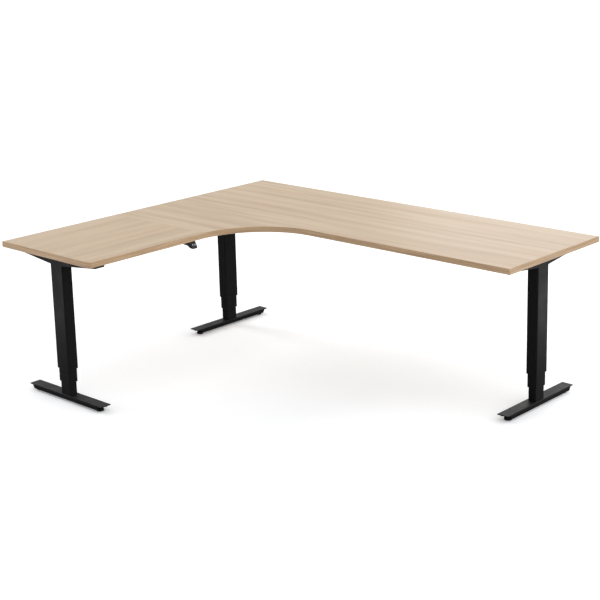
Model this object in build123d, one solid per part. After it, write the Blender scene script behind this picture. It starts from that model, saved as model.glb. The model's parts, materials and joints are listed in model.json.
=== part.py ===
from build123d import *
import os

# Corner sit-stand desk: an L-shaped two-piece worktop on three electric telescopic legs.
# Millimetres, +Z up. The origin is on the floor under the middle of the worktop's outline.
# The main wing runs along +X, the side wing runs from the outer corner towards -Y (the front).
# Every leg is drawn in its own frame: column axis on Z, foot and bracket along X, and the
# cheek that carries the rails on the +Y side. The desk stands REST_LIFT above its lowest height.

# Worktop
TOP_LENGTH = 2000.0          # outer corner to the end of the main wing
TOP_DEPTH = 1625.0           # outer corner to the end of the side wing
MAIN_WING_DEPTH = 665.0
SIDE_WING_DEPTH = 600.0
TOP_THICKNESS = 25.0
INNER_CURVE_RADIUS = 340.0   # sweep between the two wings on the user's side
END_CORNER_RADIUS = 18.0     # inner corner at the end of the side wing
EDGE_BAND = 2.0
EDGE_EASE = 1.0
SEAM_FROM_BACK = 980.0       # butt joint between the corner panel and the wing panel
SEAM_GAP = 0.3

# Plates and loose tongue across the seam
SEAM_PLATE_WIDTH = 40.0
SEAM_PLATE_LENGTH = 140.0
SEAM_PLATE = 3.0
SEAM_PLATE_SPREAD = 400.0    # between the two plates
SEAM_PLATE_EDGE = 15.0       # screw to the end of its plate
TONGUE_LENGTH = 520.0
TONGUE_WIDTH = 24.0
TONGUE = 6.0
TONGUE_CLEARANCE = 0.1

# Where the columns stand under the worktop
WING_LEG_INSET = 82.0        # left column axis to the end of the side wing
CORNER_LEG_INSET = 62.0      # corner column axis to the left edge
END_LEG_INSET = 87.0         # right column axis to the end of the main wing

# Telescopic column
COLUMN_WIDTH = 80.0
COLUMN_DEPTH = 53.0
TUBE_WALL = 2.0
TUBE_CORNER = 5.0
BORE_BEVEL = 2.0             # inside corners of tubes and glides
STAGE_GAP = 1.75             # between a tube and the next one inside it
OUTER_LENGTH = 468.0         # glide lip to the top of the cap plate
CAP_PLATE = 5.0
STROKE = 650.0               # lowest to highest worktop
REST_LIFT = 110.0            # worktop above its lowest height, as drawn
OUTER_FLOOR_GAP = 8.0        # outer stage above the foot when fully lowered
MIDDLE_FLOOR_GAP = 3.0       # middle stage above the foot when fully lowered
HEADROOM = 28.0              # above the middle stage when fully lowered
INNER_HEADROOM = 8.0         # above the inner stage when fully lowered
GLIDE_LENGTH = 40.0
GLIDE_LIP = 2.0
GLIDE_CLEARANCE = 0.3

# Spindle train on the column axis
ROD_DIA = 10.0               # six-sided, across its corners
SPINDLE_CLEARANCE = 1.0
SCREW_WALL = 3.0
SCREW_FLANGE_DIA = 32.0
SCREW_FLANGE = 5.0
CARRIER_PLATE = 5.0
CARRIER_CLEARANCE = 0.2
NUT_TUBE_WALL = 3.0
NUT_LENGTH = 30.0
NUT_CLEARANCE = 0.3
NUT_DROP = 15.0              # nut below the top of the inner tube
SPINDLE_OVERLAP = 70.0       # rod left in the hollow screw at full height
SCREW_RUNOUT = 20.0          # hollow screw left below the nut at full height
BASE_PLUG = 8.0

# Worm gearmotor in the bracket
GEAR_CASE = (66.0, 44.0, 38.0)
GEAR_CASE_BEVEL = 5.0
ROD_SOCKET = 12.0
ROD_CLEARANCE = 0.2
CAP_OPENING = 20.0
MOTOR_DIA = 32.0
MOTOR_FLATS = 27.0           # across the flattened top and bottom of the can
MOTOR_LENGTH = 72.0
MOTOR_AXIS_HEIGHT = 21.0     # above the cap plate

# Folded bracket under the worktop
BRACKET_LENGTH = 530.0
BRACKET_DEPTH = 44.0
BRACKET_TIP = 19.0
BRACKET_SHEET = 3.0
BRACKET_TIP_ROUND = 7.0
BRACKET_SCREW_FROM_TIP = 25.0
BRACKET_SCREW_SPACING = 100.0

# Rails between the brackets
RAIL_WIDTH = 40.0
RAIL_HEIGHT = 24.0
RAIL_WALL = 2.0
RAIL_SPREAD = 300.0
RAIL_FLANGE = 4.0
FLANGE_BOLT_SPACING = 56.0
FLANGE_MARGIN = 7.0

# Foot with its levelling pads
FOOT_LENGTH = 492.0
FOOT_WIDTH = 55.0
FOOT_HEIGHT = 20.0
FOOT_SHEET = 4.0
FOOT_FOLD = 2.0
FOOT_LIP = 26.0              # top plate beyond the folded sides
FOOT_BEVEL = 12.0
PAD_DIA = 34.0
PAD_HEIGHT = 10.0
PAD_FLAT_COUNT = 12          # sides of the pad's rim, for turning it by hand
PAD_EASE = 2.0
PAD_INSET = 38.0             # pad axis to the end of the foot
STEM_DIA = 8.0
STEM_CLEARANCE = 0.3
WELD_NUT_DIA = 16.0
WELD_NUT_GAP = 0.3

# Fasteners
WOOD_SCREW_DIA = 4.5
WOOD_SCREW_LENGTH = 18.0
WOOD_SCREW_HEAD_DIA = 9.0
WOOD_SCREW_HEAD = 3.0
WOOD_SCREW_CLEARANCE = 0.25
BOLT_DIA = 6.0
BOLT_HEAD_DIA = 11.0
BOLT_HEAD = 4.0
BOLT_CLEARANCE = 0.25
FOOT_BOLT_SPACING = 44.0

# Control box under the main wing
BOX_LENGTH = 260.0
BOX_WIDTH = 110.0
BOX_HEIGHT = 40.0
BOX_BEVEL = 5.0
BOX_TRAY = 3.0
BOX_EAR = 22.0
BOX_EAR_HOLE_SPACING = 70.0
BOX_FROM_LEFT = 830.0        # box centre to the left edge
SOCKET_WIDTH = 18.0
SOCKET_HEIGHT = 12.0
SOCKET_DEPTH = 9.0
SOCKET_PITCH = 30.0
SOCKET_COUNT = 4
INLET_WIDTH = 27.0
INLET_HEIGHT = 20.0
RIB_COUNT = 9
RIB_PITCH = 18.0
RIB_WIDTH = 6.0
RIB_DEPTH = 1.5
RIB_MARGIN = 14.0

# Handset under the side wing's inner edge
HANDSET_FROM_BACK = 1048.0   # handset centre to the back edge
HANDSET_WIDTH = 34.0
HANDSET_REACH = 72.0         # back of the housing to the worktop's edge
HANDSET_BODY = 20.0          # depth just behind the nose
HANDSET_TAIL = 16.0          # depth at the back
HANDSET_NOSE = 32.0
HANDSET_SETBACK = 8.0        # top of the face behind the worktop's edge
HANDSET_LEAN = 18.0          # foot of the face in front of its top
HANDSET_NOSE_DEPTH = 14.0
HANDSET_HOLLOW = 12.0        # radius behind the nose
HANDSET_ROUND = 3.0
HANDSET_CORNER = 8.0         # lower corners of the nose, seen from the front
HANDSET_SCREW_SPACING = 20.0
HANDSET_SCREW_FROM_BACK = 18.0
HANDSET_SCREW_SEAT = 4.0
BUTTON_WIDTH = 11.0
BUTTON_HEIGHT = 17.0
BUTTON_PITCH = 12.5
BUTTON_ROUND = 2.5
BUTTON_DEPTH = 3.0
BUTTON_PROUD = 1.0
BUTTON_WELL = 3.2
BUTTON_CLEARANCE = 0.3

# Edges of the worktop in plan
LEFT_EDGE = -TOP_LENGTH / 2
RIGHT_EDGE = TOP_LENGTH / 2
BACK_EDGE = TOP_DEPTH / 2
FRONT_EDGE = -TOP_DEPTH / 2
MAIN_FRONT = BACK_EDGE - MAIN_WING_DEPTH
WING_INNER = LEFT_EDGE + SIDE_WING_DEPTH
SEAM_Y = BACK_EDGE - SEAM_FROM_BACK
WING_AXIS_X = LEFT_EDGE + SIDE_WING_DEPTH / 2
MAIN_AXIS_Y = BACK_EDGE - MAIN_WING_DEPTH / 2
LEFT_LEG_Y = FRONT_EDGE + WING_LEG_INSET
CORNER_LEG_X = LEFT_EDGE + CORNER_LEG_INSET
RIGHT_LEG_X = RIGHT_EDGE - END_LEG_INSET

# Heights of the stages as drawn
FOOT_TOP = PAD_HEIGHT + FOOT_HEIGHT
OUTER_BOTTOM = FOOT_TOP + OUTER_FLOOR_GAP + REST_LIFT
OUTER_TOP = OUTER_BOTTOM + OUTER_LENGTH
UNDERSIDE = OUTER_TOP + BRACKET_DEPTH
MIDDLE_LENGTH = OUTER_LENGTH + OUTER_FLOOR_GAP - CAP_PLATE - HEADROOM - MIDDLE_FLOOR_GAP
MIDDLE_BOTTOM = FOOT_TOP + MIDDLE_FLOOR_GAP + REST_LIFT / 2
MIDDLE_TOP = MIDDLE_BOTTOM + MIDDLE_LENGTH
CARRIER_TOP = MIDDLE_TOP - SCREW_FLANGE
CARRIER_DROP = SCREW_FLANGE + CARRIER_PLATE
INNER_LENGTH = MIDDLE_FLOOR_GAP + MIDDLE_LENGTH - CARRIER_DROP - INNER_HEADROOM
INNER_TOP = FOOT_TOP + INNER_LENGTH

# Spindle ends and sizes
MIDDLE_RISE = (STROKE - REST_LIFT) / 2
ROD_BOTTOM = CARRIER_TOP - MIDDLE_RISE - SPINDLE_OVERLAP
NUT_TOP = INNER_TOP - NUT_DROP
SCREW_BOTTOM = NUT_TOP - NUT_LENGTH - MIDDLE_RISE - SCREW_RUNOUT
SCREW_BORE = ROD_DIA + 2 * SPINDLE_CLEARANCE
SCREW_DIA = SCREW_BORE + 2 * SCREW_WALL
NUT_TUBE_BORE = SCREW_DIA + 2 * SPINDLE_CLEARANCE
NUT_TUBE_WIDTH = NUT_TUBE_BORE + 2 * NUT_TUBE_WALL

STAGE_STEP = 2 * (TUBE_WALL + STAGE_GAP)
CHEEK_GAP = COLUMN_DEPTH - 2 * BRACKET_SHEET
RAIL_AXIS_Z = UNDERSIDE - RAIL_HEIGHT / 2
FLANGE_WIDTH = FLANGE_BOLT_SPACING + 2 * FLANGE_MARGIN
PAD_OFFSET = FOOT_LENGTH / 2 - PAD_INSET

SEATED = (Align.CENTER, Align.CENTER, Align.MIN)
HUNG = (Align.CENTER, Align.CENTER, Align.MAX)
BOTH_SIDES = (-1, 1)

LEGS = {
    "left": Location((WING_AXIS_X, LEFT_LEG_Y, 0), (0, 0, 0)),
    "corner": Location((CORNER_LEG_X, MAIN_AXIS_Y, 0), (0, 0, -90)),
    "right": Location((RIGHT_LEG_X, MAIN_AXIS_Y, 0), (0, 0, 90)),
}


def group(shapes):
    """Several separate solids that share one node."""
    return Compound([solid for shape in shapes for solid in shape.solids()])


def rod(diameter, bottom, top):
    """Upright cylinder between two heights on the Z axis."""
    return Pos(0, 0, bottom) * Cylinder(diameter / 2, top - bottom, align=SEATED)


def side_view(points, width):
    """Solid with the given outline in X and Z, centred across Y."""
    return extrude(Plane.XZ * make_face(Polyline(*points, close=True)), width / 2, both=True)


# Worktop

def worktop_outline():
    """L-shaped plan with the swept inner corner and the rounded end corner."""
    plan = make_face(Polyline(
        (LEFT_EDGE, BACK_EDGE),
        (RIGHT_EDGE, BACK_EDGE),
        (RIGHT_EDGE, MAIN_FRONT),
        (WING_INNER, MAIN_FRONT),
        (WING_INNER, FRONT_EDGE),
        (LEFT_EDGE, FRONT_EDGE),
        close=True,
    ))
    inner_corner = plan.vertices().sort_by_distance((WING_INNER, MAIN_FRONT, 0))[0]
    plan = fillet(inner_corner, INNER_CURVE_RADIUS)
    end_corner = plan.vertices().sort_by_distance((WING_INNER, FRONT_EDGE, 0))[0]
    return fillet(end_corner, END_CORNER_RADIUS)


def cut_at_seam(board, keep):
    """The part of a board behind (Keep.TOP) or in front of (Keep.BOTTOM) the seam."""
    side = 1 if keep == Keep.TOP else -1
    plane = Plane((0, SEAM_Y + side * SEAM_GAP / 2, 0), z_dir=(0, 1, 0))
    return split(board, bisect_by=plane, keep=keep)


def seam_tongue(clearance=0.0):
    """Plywood tongue across the seam halfway through the board, or the groove for it."""
    growth = 2 * clearance
    tongue = Box(TONGUE_LENGTH + growth, TONGUE_WIDTH + growth, TONGUE + growth)
    return Pos(WING_AXIS_X, SEAM_Y, UNDERSIDE + TOP_THICKNESS / 2) * tongue


def worktop_core():
    """Board inside the edge band, grooved for the seam tongue."""
    plan = offset(worktop_outline(), amount=-EDGE_BAND, kind=Kind.INTERSECTION)
    board = extrude(Pos(0, 0, UNDERSIDE) * plan, TOP_THICKNESS)
    return board - seam_tongue(TONGUE_CLEARANCE)


def worktop_band():
    """Edge band all round the worktop, with its outer edges eased."""
    outline = worktop_outline()
    inside = offset(outline, amount=-EDGE_BAND, kind=Kind.INTERSECTION)
    rim = extrude(Pos(0, 0, UNDERSIDE) * outline, TOP_THICKNESS)
    faces = rim.faces().sort_by(Axis.Z)
    eased = chamfer(faces[0].edges() + faces[-1].edges(), EDGE_EASE)
    return eased - extrude(Pos(0, 0, UNDERSIDE) * inside, TOP_THICKNESS)


def seam_plate_spots():
    """Centres of the joining plates under the seam."""
    return [Pos(WING_AXIS_X + side * SEAM_PLATE_SPREAD / 2, SEAM_Y, UNDERSIDE) for side in BOTH_SIDES]


def seam_plate_screws():
    """Screw spots on one joining plate, two on each side of the seam."""
    reach = SEAM_PLATE_LENGTH / 2 - SEAM_PLATE_EDGE
    inner = SEAM_PLATE_EDGE
    return [Pos(0, y, -SEAM_PLATE) for y in (-reach, -inner, inner, reach)]


def seam_plate():
    """Flat steel plate, hung from the underside."""
    plate = Box(SEAM_PLATE_WIDTH, SEAM_PLATE_LENGTH, SEAM_PLATE, align=HUNG)
    for spot in seam_plate_screws():
        plate -= spot * wood_screw_hole(SEAM_PLATE)
    return plate


# Fasteners

def six_sided(diameter, length):
    """Bar from the origin along +Z. Fasteners and their holes have six sides, to keep them light."""
    return extrude(RegularPolygon(diameter / 2, 6), length)


def wood_screw():
    """Hex-head screw seated at its origin, driven upwards."""
    return six_sided(WOOD_SCREW_DIA, WOOD_SCREW_LENGTH) + six_sided(WOOD_SCREW_HEAD_DIA, -WOOD_SCREW_HEAD)


def wood_screw_hole(thickness):
    """Clearance hole for a wood screw through a sheet that starts at the origin."""
    return six_sided(WOOD_SCREW_DIA + 2 * WOOD_SCREW_CLEARANCE, thickness)


def bolt(grip):
    """Hex-head bolt seated at its origin, with its shank along +Z."""
    return six_sided(BOLT_DIA, grip) + six_sided(BOLT_HEAD_DIA, -BOLT_HEAD)


def bolt_hole(depth):
    """Clearance hole for a bolt, from the origin along +Z."""
    return six_sided(BOLT_DIA + 2 * BOLT_CLEARANCE, depth)


# Telescopic column

def stage_section(stage):
    """Outer outline of a tube: stage 0 is the outer tube, 2 the inner one."""
    width = COLUMN_WIDTH - stage * STAGE_STEP
    depth = COLUMN_DEPTH - stage * STAGE_STEP
    return RectangleRounded(width, depth, TUBE_CORNER)


def stage_opening(stage, growth):
    """Bevelled outline that lies `growth` outside the tube of a stage."""
    width = COLUMN_WIDTH - stage * STAGE_STEP + 2 * growth
    depth = COLUMN_DEPTH - stage * STAGE_STEP + 2 * growth
    return chamfer(Rectangle(width, depth).vertices(), BORE_BEVEL)


def stage_bore(stage, growth=0.0):
    """Inside outline of a tube."""
    return stage_opening(stage, growth - TUBE_WALL)


def stage_tube(stage, bottom, top):
    """Rectangular tube with rounded corners."""
    return extrude(Pos(0, 0, bottom) * (stage_section(stage) - stage_bore(stage)), top - bottom)


def mouth_glide(stage, bottom):
    """Collar in the lower mouth of a tube, with a lip that covers the tube's end."""
    opening = stage_opening(stage + 1, GLIDE_CLEARANCE)
    lip = extrude(Pos(0, 0, bottom) * (stage_section(stage) - opening), GLIDE_LIP)
    collar = extrude(Pos(0, 0, bottom) * (stage_bore(stage) - opening), GLIDE_LIP + GLIDE_LENGTH)
    return lip + collar


def head_glide(stage, top):
    """Sleeve round the upper end of a tube that runs in the next larger one."""
    sleeve = stage_bore(stage - 1, -GLIDE_CLEARANCE) - stage_opening(stage, 0)
    return extrude(Pos(0, 0, top - GLIDE_LENGTH) * sleeve, GLIDE_LENGTH)


def outer_tube():
    """Upper tube with the cap plate that carries the gearmotor and the bracket."""
    cap_bottom = OUTER_TOP - CAP_PLATE
    cap_section = stage_section(0) - Rectangle(CAP_OPENING, CAP_OPENING)
    cap = extrude(Pos(0, 0, cap_bottom) * cap_section, CAP_PLATE)
    return stage_tube(0, OUTER_BOTTOM + GLIDE_LIP, cap_bottom) + cap


def middle_tube():
    """Middle tube with the plate that carries the hollow screw."""
    carrier_bottom = CARRIER_TOP - CARRIER_PLATE
    opening = SCREW_DIA + 2 * CARRIER_CLEARANCE
    carrier_section = stage_bore(1) - Rectangle(opening, opening)
    carrier = extrude(Pos(0, 0, carrier_bottom) * carrier_section, CARRIER_PLATE)
    return stage_tube(1, MIDDLE_BOTTOM + GLIDE_LIP, MIDDLE_TOP) + carrier


def inner_tube():
    """Inner tube with the plug that is bolted to the foot."""
    plug = extrude(Pos(0, 0, FOOT_TOP) * stage_bore(2), BASE_PLUG)
    for spot in foot_bolt_spots():
        plug -= spot * bolt_hole(FOOT_SHEET + BASE_PLUG)
    return stage_tube(2, FOOT_TOP, INNER_TOP) + plug


def drive_rod():
    """Six-sided rod that hangs from the gearmotor and turns the hollow screw."""
    return Pos(0, 0, ROD_BOTTOM) * six_sided(ROD_DIA, OUTER_TOP + ROD_SOCKET - ROD_BOTTOM)


def hollow_screw():
    """Screw round the drive rod, hung by its flange on the middle tube's carrier."""
    screw = rod(SCREW_DIA, SCREW_BOTTOM, MIDDLE_TOP)
    screw += Pos(0, 0, CARRIER_TOP) * six_sided(SCREW_FLANGE_DIA, SCREW_FLANGE)
    return screw - Pos(0, 0, SCREW_BOTTOM) * six_sided(SCREW_BORE, MIDDLE_TOP - SCREW_BOTTOM)


def nut_tube():
    """Square standing tube with the nut for the hollow screw at its head."""
    bottom = FOOT_TOP + BASE_PLUG
    nut_bottom = NUT_TOP - NUT_LENGTH
    outside = Rectangle(NUT_TUBE_WIDTH, NUT_TUBE_WIDTH)
    wall = outside - Rectangle(NUT_TUBE_BORE, NUT_TUBE_BORE)
    nut = outside - Circle(SCREW_DIA / 2 + NUT_CLEARANCE)
    tube = extrude(Pos(0, 0, bottom) * wall, nut_bottom - bottom)
    return tube + extrude(Pos(0, 0, nut_bottom) * nut, NUT_LENGTH)


def gearmotor():
    """Worm gear case on the cap plate, and the flat-sided motor lying along the bracket."""
    case = Pos(0, 0, OUTER_TOP) * Box(*GEAR_CASE, align=SEATED)
    case = chamfer(case.edges().filter_by(Axis.Z), GEAR_CASE_BEVEL)
    case -= Pos(0, 0, OUTER_TOP) * six_sided(ROD_DIA + 2 * ROD_CLEARANCE, ROD_SOCKET)
    along = Pos(GEAR_CASE[0] / 2, 0, OUTER_TOP + MOTOR_AXIS_HEIGHT) * Rot(Y=90)
    can = Circle(MOTOR_DIA / 2) & Rectangle(MOTOR_FLATS, MOTOR_DIA)
    return case + along * extrude(can, MOTOR_LENGTH)


# Bracket

def bracket_screw_spots():
    """Worktop screws along the bracket, from the tips inwards."""
    tip = BRACKET_LENGTH / 2 - BRACKET_SCREW_FROM_TIP
    stations = (tip, tip - BRACKET_SCREW_SPACING)
    return [Pos(side * x, 0, UNDERSIDE - BRACKET_SHEET) for side in BOTH_SIDES for x in stations]


def flange_bolt_spots():
    """Bolts of the two rails along the bracket, as X places in the leg's frame."""
    rails = [side * RAIL_SPREAD / 2 for side in BOTH_SIDES]
    return [x + side * FLANGE_BOLT_SPACING / 2 for x in rails for side in BOTH_SIDES]


def top_bracket():
    """Folded channel, as wide as the column and tapered from it to both tips."""
    half = BRACKET_LENGTH / 2
    root = COLUMN_WIDTH / 2
    low = UNDERSIDE - BRACKET_DEPTH
    tip_low = UNDERSIDE - BRACKET_TIP
    outline = [
        (-half, UNDERSIDE),
        (half, UNDERSIDE),
        (half, tip_low),
        (root, low),
        (-root, low),
        (-half, tip_low),
    ]
    shell = side_view(outline, COLUMN_DEPTH)
    shell = fillet(shell.edges().filter_by(Axis.Z), BRACKET_TIP_ROUND)
    hollow_length = BRACKET_LENGTH - 2 * BRACKET_SHEET
    hollow = Box(hollow_length, CHEEK_GAP, BRACKET_DEPTH, align=HUNG)
    hollow = chamfer(hollow.edges().filter_by(Axis.Z), BRACKET_TIP_ROUND - BRACKET_SHEET)
    shell -= Pos(0, 0, UNDERSIDE - BRACKET_SHEET) * hollow
    for spot in bracket_screw_spots():
        shell -= spot * wood_screw_hole(BRACKET_SHEET)
    for x in flange_bolt_spots():
        shell -= Pos(x, CHEEK_GAP / 2, RAIL_AXIS_Z) * Rot(X=-90) * bolt_hole(BRACKET_SHEET)
    return shell


# Foot

def foot_bolt_spots():
    """Bolts that hold the inner tube's plug, seated on the underside of the foot's top plate."""
    return [Pos(side * FOOT_BOLT_SPACING / 2, 0, FOOT_TOP - FOOT_SHEET) for side in BOTH_SIDES]


def foot_channel():
    """Folded channel whose top plate runs past its bevelled sides."""
    channel = Pos(0, 0, PAD_HEIGHT) * Box(FOOT_LENGTH, FOOT_WIDTH, FOOT_HEIGHT, align=SEATED)
    folds = channel.faces().sort_by(Axis.Z)[-1].edges().filter_by(Axis.X)
    channel = fillet(folds, FOOT_FOLD)
    inside_height = FOOT_HEIGHT - FOOT_SHEET
    inside = Box(FOOT_LENGTH, FOOT_WIDTH - 2 * FOOT_SHEET, inside_height, align=SEATED)
    channel -= Pos(0, 0, PAD_HEIGHT) * inside
    half = FOOT_LENGTH / 2
    wall_top = half - FOOT_LIP
    plate_low = FOOT_TOP - FOOT_SHEET
    for side in BOTH_SIDES:
        bevel = [
            (side * half, plate_low),
            (side * wall_top, plate_low),
            (side * (wall_top - FOOT_BEVEL), PAD_HEIGHT),
            (side * half, PAD_HEIGHT),
        ]
        channel -= side_view(bevel, FOOT_WIDTH)
    return channel


def foot():
    """Foot channel with the weld nuts of its levelling pads."""
    nut_low = PAD_HEIGHT + WELD_NUT_GAP
    height = FOOT_TOP - FOOT_SHEET - nut_low
    weld_nut = six_sided(WELD_NUT_DIA, height) - six_sided(STEM_DIA + 2 * STEM_CLEARANCE, height)
    body = foot_channel()
    for side in BOTH_SIDES:
        body += Pos(side * PAD_OFFSET, 0, nut_low) * weld_nut
    for spot in foot_bolt_spots():
        body -= spot * bolt_hole(FOOT_SHEET)
    return body


def levelling_foot(side):
    """Pad with a many-sided rim and its threaded stem, screwed fully in."""
    pad = extrude(RegularPolygon(PAD_DIA / 2, PAD_FLAT_COUNT), PAD_HEIGHT)
    pad = chamfer(pad.edges().group_by(Axis.Z)[-1], PAD_EASE)
    stem_length = FOOT_TOP - FOOT_SHEET - STEM_CLEARANCE - PAD_HEIGHT
    pad += Pos(0, 0, PAD_HEIGHT) * six_sided(STEM_DIA, stem_length)
    return Pos(side * PAD_OFFSET, 0, 0) * pad


# Rails

def rail(length):
    """Rectangular tube along X with a bolted flange welded to each end, hung from the worktop."""
    tube_section = Rectangle(RAIL_WIDTH, RAIL_HEIGHT)
    tube_section -= Rectangle(RAIL_WIDTH - 2 * RAIL_WALL, RAIL_HEIGHT - 2 * RAIL_WALL)
    body = extrude(Plane.YZ * tube_section, length / 2 - RAIL_FLANGE, both=True)
    for side in BOTH_SIDES:
        flange = Box(RAIL_FLANGE, FLANGE_WIDTH, RAIL_HEIGHT)
        for bolt_side in BOTH_SIDES:
            hole = Pos(-RAIL_FLANGE / 2, bolt_side * FLANGE_BOLT_SPACING / 2, 0) * Location(Plane.YZ)
            flange -= hole * bolt_hole(RAIL_FLANGE)
        body += Pos(side * (length - RAIL_FLANGE) / 2, 0, 0) * flange
    return Pos(0, 0, RAIL_AXIS_Z) * body


def main_rail(side):
    """Rail between the corner bracket and the right bracket: -1 front, 1 rear."""
    start = CORNER_LEG_X + COLUMN_DEPTH / 2
    end = RIGHT_LEG_X - COLUMN_DEPTH / 2
    return Pos((start + end) / 2, MAIN_AXIS_Y + side * RAIL_SPREAD / 2, 0) * rail(end - start)


def wing_rail_start():
    """Front face of the front rail, where the wing rails begin."""
    return MAIN_AXIS_Y - RAIL_SPREAD / 2 - RAIL_WIDTH / 2


def wing_rail(side):
    """Rail between the front rail and the left bracket: -1 outer, 1 inner."""
    start = wing_rail_start()
    end = LEFT_LEG_Y + COLUMN_DEPTH / 2
    middle = Pos(WING_AXIS_X + side * RAIL_SPREAD / 2, (start + end) / 2, 0)
    return middle * Rot(Z=90) * rail(start - end)


def wing_rail_bolts():
    """Places of the wing rails' bolts on their flanges at the front rail, heads to the front."""
    seat = wing_rail_start() - RAIL_FLANGE
    return [Pos(WING_AXIS_X + x, seat, RAIL_AXIS_Z) * Rot(X=-90) for x in flange_bolt_spots()]


def front_rail():
    """Front main rail, drilled for the wing rails."""
    body = main_rail(-1)
    for spot in wing_rail_bolts():
        body -= spot * bolt_hole(RAIL_FLANGE + RAIL_WALL)
    return body


# Control box

def control_box_place():
    return Pos(LEFT_EDGE + BOX_FROM_LEFT, MAIN_AXIS_Y, UNDERSIDE)


def control_box_screws():
    """Screw spots in the ears of the tray."""
    x = (BOX_LENGTH + BOX_EAR) / 2
    y = BOX_EAR_HOLE_SPACING / 2
    return [Pos(i * x, j * y, -BOX_TRAY) for i in BOTH_SIDES for j in BOTH_SIDES]


def bevelled_plate(length, width):
    """Outline of the tray or the cover in plan."""
    return chamfer(Rectangle(length, width).vertices(), BOX_BEVEL)


def control_box_tray():
    """Mounting tray with an ear at each end."""
    tray = extrude(bevelled_plate(BOX_LENGTH + 2 * BOX_EAR, BOX_WIDTH), -BOX_TRAY)
    for spot in control_box_screws():
        tray -= spot * wood_screw_hole(BOX_TRAY)
    return control_box_place() * tray


def control_box_cover():
    """Moulded housing with a row of sockets at the back, a mains inlet and ribs underneath."""
    height = BOX_HEIGHT - BOX_TRAY
    body = extrude(bevelled_plate(BOX_LENGTH, BOX_WIDTH), -height)
    body = chamfer(body.faces().sort_by(Axis.Z)[0].edges(), BOX_BEVEL)
    socket = Box(SOCKET_WIDTH, 2 * SOCKET_DEPTH, SOCKET_HEIGHT)
    for i in range(SOCKET_COUNT):
        x = (i - (SOCKET_COUNT - 1) / 2) * SOCKET_PITCH
        body -= Pos(x, BOX_WIDTH / 2, -height / 2) * socket
    inlet = Box(2 * SOCKET_DEPTH, INLET_WIDTH, INLET_HEIGHT)
    body -= Pos(BOX_LENGTH / 2, 0, -height / 2) * inlet
    rib_gap = Box(RIB_WIDTH, BOX_WIDTH - 2 * RIB_MARGIN, 2 * RIB_DEPTH)
    for i in range(RIB_COUNT):
        body -= Pos((i - (RIB_COUNT - 1) / 2) * RIB_PITCH, 0, -height) * rib_gap
    return control_box_place() * Pos(0, 0, -BOX_TRAY) * body


# Handset

def handset_place():
    """Worktop edge above the handset, with +X pointing at the user."""
    return Pos(WING_INNER, BACK_EDGE - HANDSET_FROM_BACK, UNDERSIDE)


def handset_face():
    """Plane of the sloping front face, with its normal out of the housing."""
    slope = Vector(HANDSET_LEAN, 0, -HANDSET_NOSE)
    middle = Vector(-HANDSET_SETBACK, 0, 0) + slope / 2
    return Plane(middle, x_dir=(0, 1, 0), z_dir=(HANDSET_NOSE, 0, HANDSET_LEAN))


def handset_screws():
    """Screw spots in the flat part of the housing."""
    x = HANDSET_SCREW_FROM_BACK - HANDSET_REACH
    return [Pos(x, side * HANDSET_SCREW_SPACING / 2, -HANDSET_SCREW_SEAT) for side in BOTH_SIDES]


def button_blank(margin, depth, out):
    """Button or its well: a rounded block from `out` above the face down by `depth`."""
    shape = RectangleRounded(BUTTON_WIDTH + 2 * margin, BUTTON_HEIGHT + 2 * margin, BUTTON_ROUND)
    return Pos(0, 0, out) * extrude(shape, -depth)


def button_place(side):
    """Centre of a button on the face: -1 down, 1 up."""
    return handset_face() * Pos(side * BUTTON_PITCH / 2, 0, 0)


def handset_front_view():
    """Outline seen by the user, with the lower corners of the nose rounded."""
    front = Rectangle(HANDSET_WIDTH, HANDSET_NOSE, align=(Align.CENTER, Align.MAX))
    return fillet(front.vertices().group_by(Axis.Y)[0], HANDSET_CORNER)


def handset():
    """Flat housing under the worktop with a hollow sweep down to its leaning nose."""
    back = -HANDSET_REACH
    face_top = -HANDSET_SETBACK
    face_foot = HANDSET_LEAN - HANDSET_SETBACK
    nose_back = face_foot - HANDSET_NOSE_DEPTH
    outline = [
        (back, 0),
        (face_top, 0),
        (face_foot, -HANDSET_NOSE),
        (nose_back, -HANDSET_NOSE),
        (nose_back - HANDSET_LEAN, -HANDSET_BODY),
        (back, -HANDSET_TAIL),
    ]
    body = side_view(outline, HANDSET_WIDTH)
    across = body.edges().filter_by(Axis.Y)
    hollow = across.sort_by_distance((nose_back - HANDSET_LEAN, 0, -HANDSET_BODY))[0]
    body = fillet(hollow, HANDSET_HOLLOW)
    rims = body.edges().filter_by(lambda edge: edge.bounding_box().max.Z < -HANDSET_ROUND)
    nose = rims.filter_by(Axis.Y).filter_by(lambda edge: edge.center().Z < -HANDSET_BODY - HANDSET_ROUND)
    body = fillet(nose, HANDSET_ROUND)
    body &= extrude(Plane.YZ * handset_front_view(), HANDSET_REACH, both=True)
    for side in BOTH_SIDES:
        well = button_blank(BUTTON_CLEARANCE, BUTTON_WELL, 0)
        body -= button_place(side) * well
    for spot in handset_screws():
        body -= spot * wood_screw_hole(HANDSET_SCREW_SEAT)
        head_room = WOOD_SCREW_HEAD_DIA + 2 * WOOD_SCREW_CLEARANCE
        body -= spot * six_sided(head_room, HANDSET_SCREW_SEAT - HANDSET_BODY)
    return handset_place() * body


def handset_button(side):
    """Push button that stands proud of the handset's face."""
    return handset_place() * button_place(side) * button_blank(0, BUTTON_DEPTH, BUTTON_PROUD)


# Groups of fasteners

def worktop_screws():
    """All the wood screws that hold something to the worktop."""
    spots = [leg * spot for leg in LEGS.values() for spot in bracket_screw_spots()]
    spots += [plate * spot for plate in seam_plate_spots() for spot in seam_plate_screws()]
    spots += [control_box_place() * spot for spot in control_box_screws()]
    spots += [handset_place() * spot for spot in handset_screws()]
    return group(spot * wood_screw() for spot in spots)


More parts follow.
